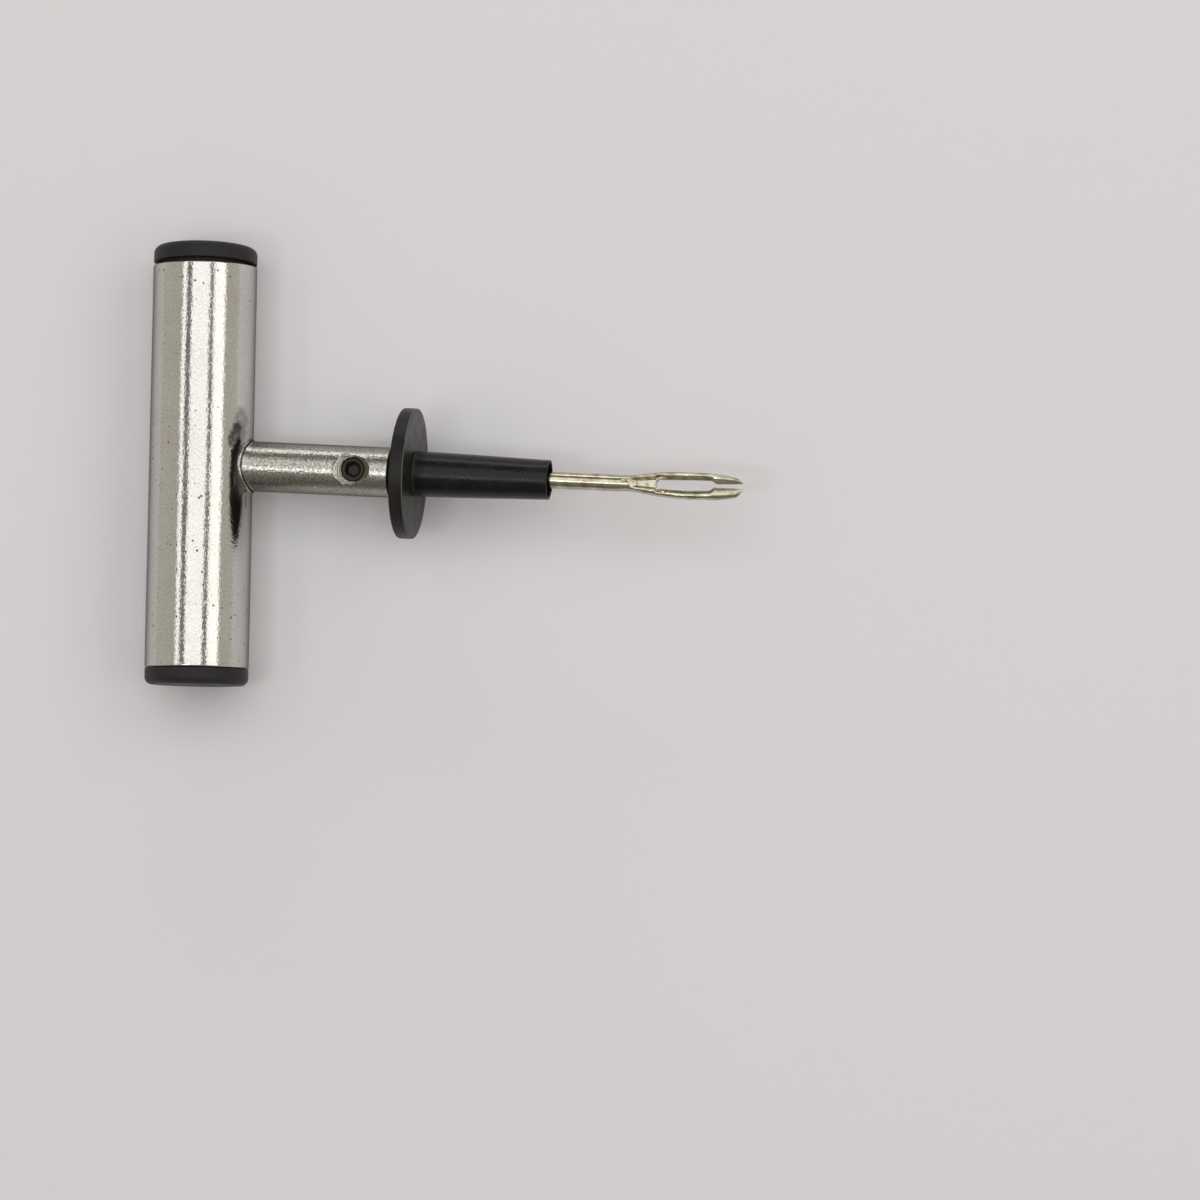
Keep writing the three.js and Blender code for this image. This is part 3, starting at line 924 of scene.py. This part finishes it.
def curve(x, knots):
    """A line through (x, value) knots, cubic between them, with slopes from the neighbours."""
    spots = np.array(knots, float)
    from_left = np.searchsorted(spots[:, 0], x, side="right") - 1
    i = np.clip(from_left, 0, len(spots) - 2)
    slopes = np.gradient(spots[:, 1], spots[:, 0])
    x0, x1 = spots[i, 0], spots[i + 1, 0]
    h = x1 - x0
    t = np.clip((x - x0) / h, 0, 1)
    return (
        (1 + 2 * t) * (1 - t) ** 2 * spots[i, 1] + t * (1 - t) ** 2 * h * slopes[i]
        + t * t * (3 - 2 * t) * spots[i + 1, 1] - t * t * (1 - t) * h * slopes[i + 1]
    )


UPPER_TINE = {
    "outer": [(ROD_END, 2.0), (104, 2.0), (106.7, 2.38), (110, 2.9), (116, 3.3), (122, 3.35),
              (127, 2.95), (129.4, 2.5)],
    "inner": [(EYE_FULL, 1.22), (118, 1.45), (123.6, 1.55)],
    "slot": 0.8, "shoulder": 124.9, "ridge": 0.66, "tip": (131.1, 1.30, 1.10), "side": 1,
}
LOWER_TINE = {
    "outer": [(ROD_END, 2.0), (104, 1.85), (106.7, 2.15), (110, 2.62), (116, 3.1), (122, 3.08),
              (127, 2.75), (129.4, 2.25)],
    "inner": [(EYE_FULL, 0.95), (118, 1.12), (123.4, 0.85)],
    "slot": 0.08, "shoulder": 124.4, "ridge": 0.52, "tip": (131.0, 0.55, 0.05), "side": -1,
}


def inner_edge(tine, x):
    """The eye's edge: a quarter ellipse up from the middle, a long side, then the slot."""
    first = tine["inner"][0]
    t = np.clip((x - EYE_START) / (first[0] - EYE_START), 0, 1)
    round_end = first[1] * np.sqrt(1 - (1 - t) ** 2)
    side = curve(x, tine["inner"])
    last_x, last_y = tine["inner"][-1]
    down = np.clip((x - last_x) / (tine["shoulder"] - last_x), 0, 1)
    slot = tine["slot"] + (tine["tip"][2] - tine["slot"]) * np.clip(
        (x - tine["shoulder"]) / (tine["tip"][0] - tine["shoulder"]), 0, 1)
    edge = np.where(x < first[0], round_end, np.where(x < last_x, side, last_y))
    return np.where(x > last_x, last_y + (slot - last_y) * down, edge)


def outer_edge(tine, x):
    """The tine's outside: a smooth line, then a straight run in to the tip."""
    last_x, last_y = tine["outer"][-1]
    tip_x, tip_y, _ = tine["tip"]
    t = np.clip((x - last_x) / (tip_x - last_x), 0, 1)
    nose = last_y + (tip_y - last_y) * t ** 1.6
    return np.where(x > last_x, nose, curve(x, tine["outer"]))


# %% [markdown]
# The needle is carbon steel under bright nickel, which is yellower than zinc. The rod was drawn,
# so it is smooth, while the forged head keeps folds and hammer facets under the plating.

# %% Nickel plate
def nickel_plate(name):
    """Warm bright metal. The vertex number forged brings in pressing marks on the head."""
    material, tree, shader, place = material_start(name)
    forged = add(tree, "Attribute", {"attribute_name": "forged"}).outputs["Fac"]
    cloud = add(tree, "TexNoise", None, at_size(place, 2.2, 4.0))
    tone = add(tree, "MapRange", None, {"Value": cloud, "From Min": 0.35, "From Max": 0.7})
    colour = add(tree, "Mix", RGBA, {
        "Factor": tone, 6: linear("#CDC7B3"), 7: linear("#9A937B")}).outputs[2]
    gloss = add(tree, "MapRange", None, {"Value": cloud, "To Min": 0.12, "To Max": 0.22})
    press = add(tree, "TexNoise", None, at_size(place, 1.6, 3.0))
    marks = add(tree, "Math", {"operation": "MULTIPLY"}, {0: press, 1: forged})
    grain = add(tree, "TexNoise", None, at_size(place, 0.4, 1.0))
    pressed = add(tree, "Bump", None, {"Height": marks, "Distance": 0.12 * METRE})
    grained = add(tree, "Bump", None, {
        "Height": grain, "Distance": 0.003 * METRE, "Normal": pressed})
    connect(tree, shader, {
        "Base Color": colour, "Metallic": 1.0, "Roughness": gloss, "Normal": grained})
    return material


# %% Rows along the needle
def needle_rows():
    """Places of the rows: few along the plain rod, many where the head changes shape."""
    arc = EYE_START + (EYE_FULL - EYE_START) * (1 - np.cos(np.linspace(0, math.pi / 2, 12)))
    return np.concatenate([
        [NEEDLE_TAIL, NEEDLE_TAIL + 0.4], np.linspace(NEEDLE_TAIL + 2, ROD_END, 18),
        np.linspace(101.2, EYE_START, 60)[:-1], arc, np.linspace(111.5, 123.3, 60),
        np.linspace(123.4, NEEDLE_TIP, 60),
    ])


# %% Half of the needle
def half_needle(tine):
    """One half as rings (row, point, xyz): a half section from the middle round to below."""
    x = needle_rows()[:, None]
    s = np.sin(np.linspace(0, math.pi / 2, 22))[None, :]
    forged = smooth(x, HEAD_START, HEAD_START + 2.4)
    y_in, y_out = inner_edge(tine, x), outer_edge(tine, x)
    y_in = np.where(x < EYE_START, 0, y_in)
    tail = np.where(x < NEEDLE_TAIL + 0.2, 0.8, 1.0)
    y_out = np.where(x < ROD_END, NEEDLE_RADIUS * tail, y_out)
    half_height = curve(x, [(ROD_END, 2.0), (104, 1.95), (107, 1.72), (112, 1.5), (124, 1.42),
                            (128, 1.2), (131, 0.55)])
    half_height = np.where(x < ROD_END, NEEDLE_RADIUS * tail, half_height)
    ridge = tine["ridge"] + 0 * x
    beyond = np.clip((s - ridge) / (1 - ridge), 0, 1)
    crown = (1 - beyond ** 2.1) ** (1 / 2.1)
    web = 0.50 + 0.50 * smooth(s, ridge - 0.30, ridge)
    tine_top = 0.62 + 0.38 * smooth(s, -0.25, ridge)
    in_web = 1 - smooth(x, EYE_START, EYE_START + 3)
    valley = in_web * web + (1 - in_web) * tine_top
    head = np.where(s < ridge, valley, crown)
    section = (1 - forged) * np.sqrt(np.clip(1 - s ** 2, 0, 1)) + forged * head
    y = y_in + (y_out - y_in) * s
    z = half_height * section
    # Two sloping planes cut the nose to a blunt point.
    slope = tine["tip"][0] + 0.55 - x
    inner_plane = 0.42 * slope + 0.30 * (y - tine["tip"][2])
    outer_plane = 0.60 * slope + 0.52 * (y_out + 0.25 - y)
    z = np.where(x > NOSE_START, np.minimum(z, inner_plane), z)
    z = np.where(x > NOSE_START, np.minimum(z, outer_plane), z)
    z = np.maximum(z, 0.0)
    if tine["side"] > 0:
        pinch = np.exp(-((x - FOLD_X) / 0.75) ** 2) * 0.45
        dent = pinch * smooth(s, 0, 0.2) * (1 - smooth(s, 0.35, 0.6))
        z = z - dent * (0.7 + 0.3 * np.sin(x * 5.5))
    x = x + 0 * s
    top = np.stack([x, tine["side"] * y, z], -1)
    under = np.stack([x, tine["side"] * y, -z], -1)[:, ::-1]
    return np.concatenate([top, under[:, 1:]], 1)


# %% Needle
def needle_mesh():
    """Both halves as points and faces, with the eye's inner walls and the flat ends added."""
    points, faces = [], []
    rows = needle_rows()
    eye_row = int(np.searchsorted(rows, EYE_START - 1e-6))
    for tine in (UPPER_TINE, LOWER_TINE):
        grid = half_needle(tine)
        n, m = grid.shape[:2]
        base = sum(len(p) for p in points)
        index = base + np.arange(n * m).reshape(n, m)
        quads = np.stack([index[:-1, :-1], index[:-1, 1:], index[1:, 1:], index[1:, :-1]], -1)
        wall = np.stack([index[eye_row:-1, -1], index[eye_row:-1, 0],
                         index[eye_row + 1:, 0], index[eye_row + 1:, -1]], -1)
        half = np.concatenate([quads.reshape(-1, 4), wall])
        points.append(grid.reshape(-1, 3))
        ends = [index[0][::-1].tolist(), index[-1].tolist()]
        half = half.tolist() + ends
        faces += half if tine["side"] > 0 else [f[::-1] for f in half]
    return np.vstack(points), faces


needle_points, needle_faces = needle_mesh()
needle_data = bpy.data.meshes.new("forged_eye_needle")
needle_data.from_pydata(placed(needle_points, shank_line).tolist(), [], needle_faces)
body = bmesh.new()
body.from_mesh(needle_data)
bmesh.ops.remove_doubles(body, verts=body.verts, dist=2e-6)
bmesh.ops.dissolve_degenerate(body, edges=body.edges, dist=1e-7)
bmesh.ops.recalc_face_normals(body, faces=body.faces)
print("needle's open edges:", sum(edge.is_boundary for edge in body.edges))
body.to_mesh(needle_data)
body.free()
needle_data.shade_smooth()
spots = np.empty(3 * len(needle_data.vertices))
needle_data.vertices.foreach_get("co", spots)
reach = (spots.reshape(-1, 3) - weld_point) @ along / METRE
forged = needle_data.attributes.new("forged", "FLOAT", "POINT")
forged.data.foreach_set("value", smooth(reach, HEAD_START - 2.5, HEAD_START + 1))
declare(linked("forged_eye_needle", needle_data), "needle", "needle",
        nickel_plate("bright_nickel_plated_needle"))

# %% [markdown]
# ## Camera, floor and light
#
# The camera looks almost straight down through a long lens. Plated steel has little colour of
# its own and shows what stands round it, so the light is a small studio: a softly shaded sky,
# darker straight above, gives the grey bands, and large plain softboxes give the white ones.
# A small lamp puts a thin streak on the black pieces.

# %% Camera
camera_data = bpy.data.cameras.new("camera")
camera_data.sensor_width = 36
camera_data.lens = 144
camera_data.clip_end = 20
camera = linked("camera", camera_data)
camera.location = middle + np.array((202.8, -89.6, 1134.3)) * METRE
camera.rotation_euler = [math.radians(a) for a in (3.06, 5.29, 1.05)]
bpy.context.scene.camera = camera
print("camera with a lens of", camera_data.lens, "mm")

# %% Floor
FLOOR_HALF = 4  # metres

floor_mesh = bpy.data.meshes.new("floor")
corner_signs = np.array([(-1, -1, 0), (1, -1, 0), (1, 1, 0), (-1, 1, 0)])
floor_mesh.from_pydata((FLOOR_HALF * corner_signs).tolist(), [], [(0, 1, 2, 3)])
floor = linked("floor", floor_mesh)
floor_material = bpy.data.materials.new("pale_paper")
floor_material.use_nodes = True
floor_tree = floor_material.node_tree
connect(floor_tree, floor_tree.nodes["Principled BSDF"], {
    "Base Color": linear("#EBE9EC"), "Roughness": 0.9, "Specular IOR Level": 0.1})
floor_mesh.materials.append(floor_material)
print("floor", 2 * FLOOR_HALF, "m wide")

# %% Sky
world = bpy.data.worlds.new("studio")
bpy.context.scene.world = world
world.use_nodes = True
world_tree = world.node_tree
direction = add(world_tree, "TexCoord").outputs["Generated"]
parts = add(world_tree, "SeparateXYZ", None, {0: direction})
ramp = add(world_tree, "ValToRGB", None, {"Fac": parts.outputs["Z"]})
sideways = add(world_tree, "Math", {"operation": "ABSOLUTE"}, {0: parts.outputs["Y"]})
dimmed = add(world_tree, "MapRange", EASED, {
    "Value": sideways, "From Min": 0.35, "From Max": 0.85, "To Min": 1.0, "To Max": 0.38})
stops = ramp.color_ramp.elements
stops[0].position, stops[0].color = 0.0, (0.56, 0.53, 0.47, 1)
stops[1].position, stops[1].color = 0.96, (0.2, 0.195, 0.19, 1)
stops.new(0.78).color = (0.50, 0.48, 0.43, 1)
stops.new(0.86).color = (0.25, 0.24, 0.235, 1)
connect(world_tree, world_tree.nodes["Background"], {"Color": ramp, "Strength": dimmed})
print("sky of", len(stops), "tones")


# %% Softboxes
def softbox(name, side_angle, length_angle, distance, width, length, radiance):
    """A rectangular light facing the tool, side_angle degrees towards the needle from straight
    up and length_angle towards the upper cap. Its length runs along the handle. Metres."""
    data = bpy.data.lights.new(name, "AREA")
    data.shape = "RECTANGLE"
    data.size, data.size_y = width, length
    data.energy = radiance * math.pi * width * length
    lamp = linked(name, data)
    a, b = math.radians(side_angle), math.radians(length_angle)
    away = np.array((math.sin(a) * math.cos(b), math.sin(b), math.cos(a) * math.cos(b)))
    width_axis = np.cross(handle_axis, away)
    width_axis /= np.linalg.norm(width_axis)
    length_axis = np.cross(away, width_axis)
    turn = Matrix(np.stack([width_axis, length_axis, away], 1).tolist()).to_4x4()
    lamp.matrix_world = Matrix.Translation(middle + away * distance) @ turn
    print(name, "%.1f W" % data.energy)


softbox("overhead_softbox", 1.2, 9, 1.6, 1.17, 1.7, 1.22)
softbox("right_softbox", 43, 9, 1.6, 0.76, 1.7, 1.12)
softbox("left_strip", -34.5, 9, 1.6, 0.24, 1.7, 1.1)
softbox("far_strip", 0, 78, 1.6, 1.6, 0.45, 2.2)
softbox("key_lamp", -15, -10, 1.6, 0.3, 0.1, 13)

# %% Colour management
bpy.context.scene.view_settings.view_transform = "Standard"
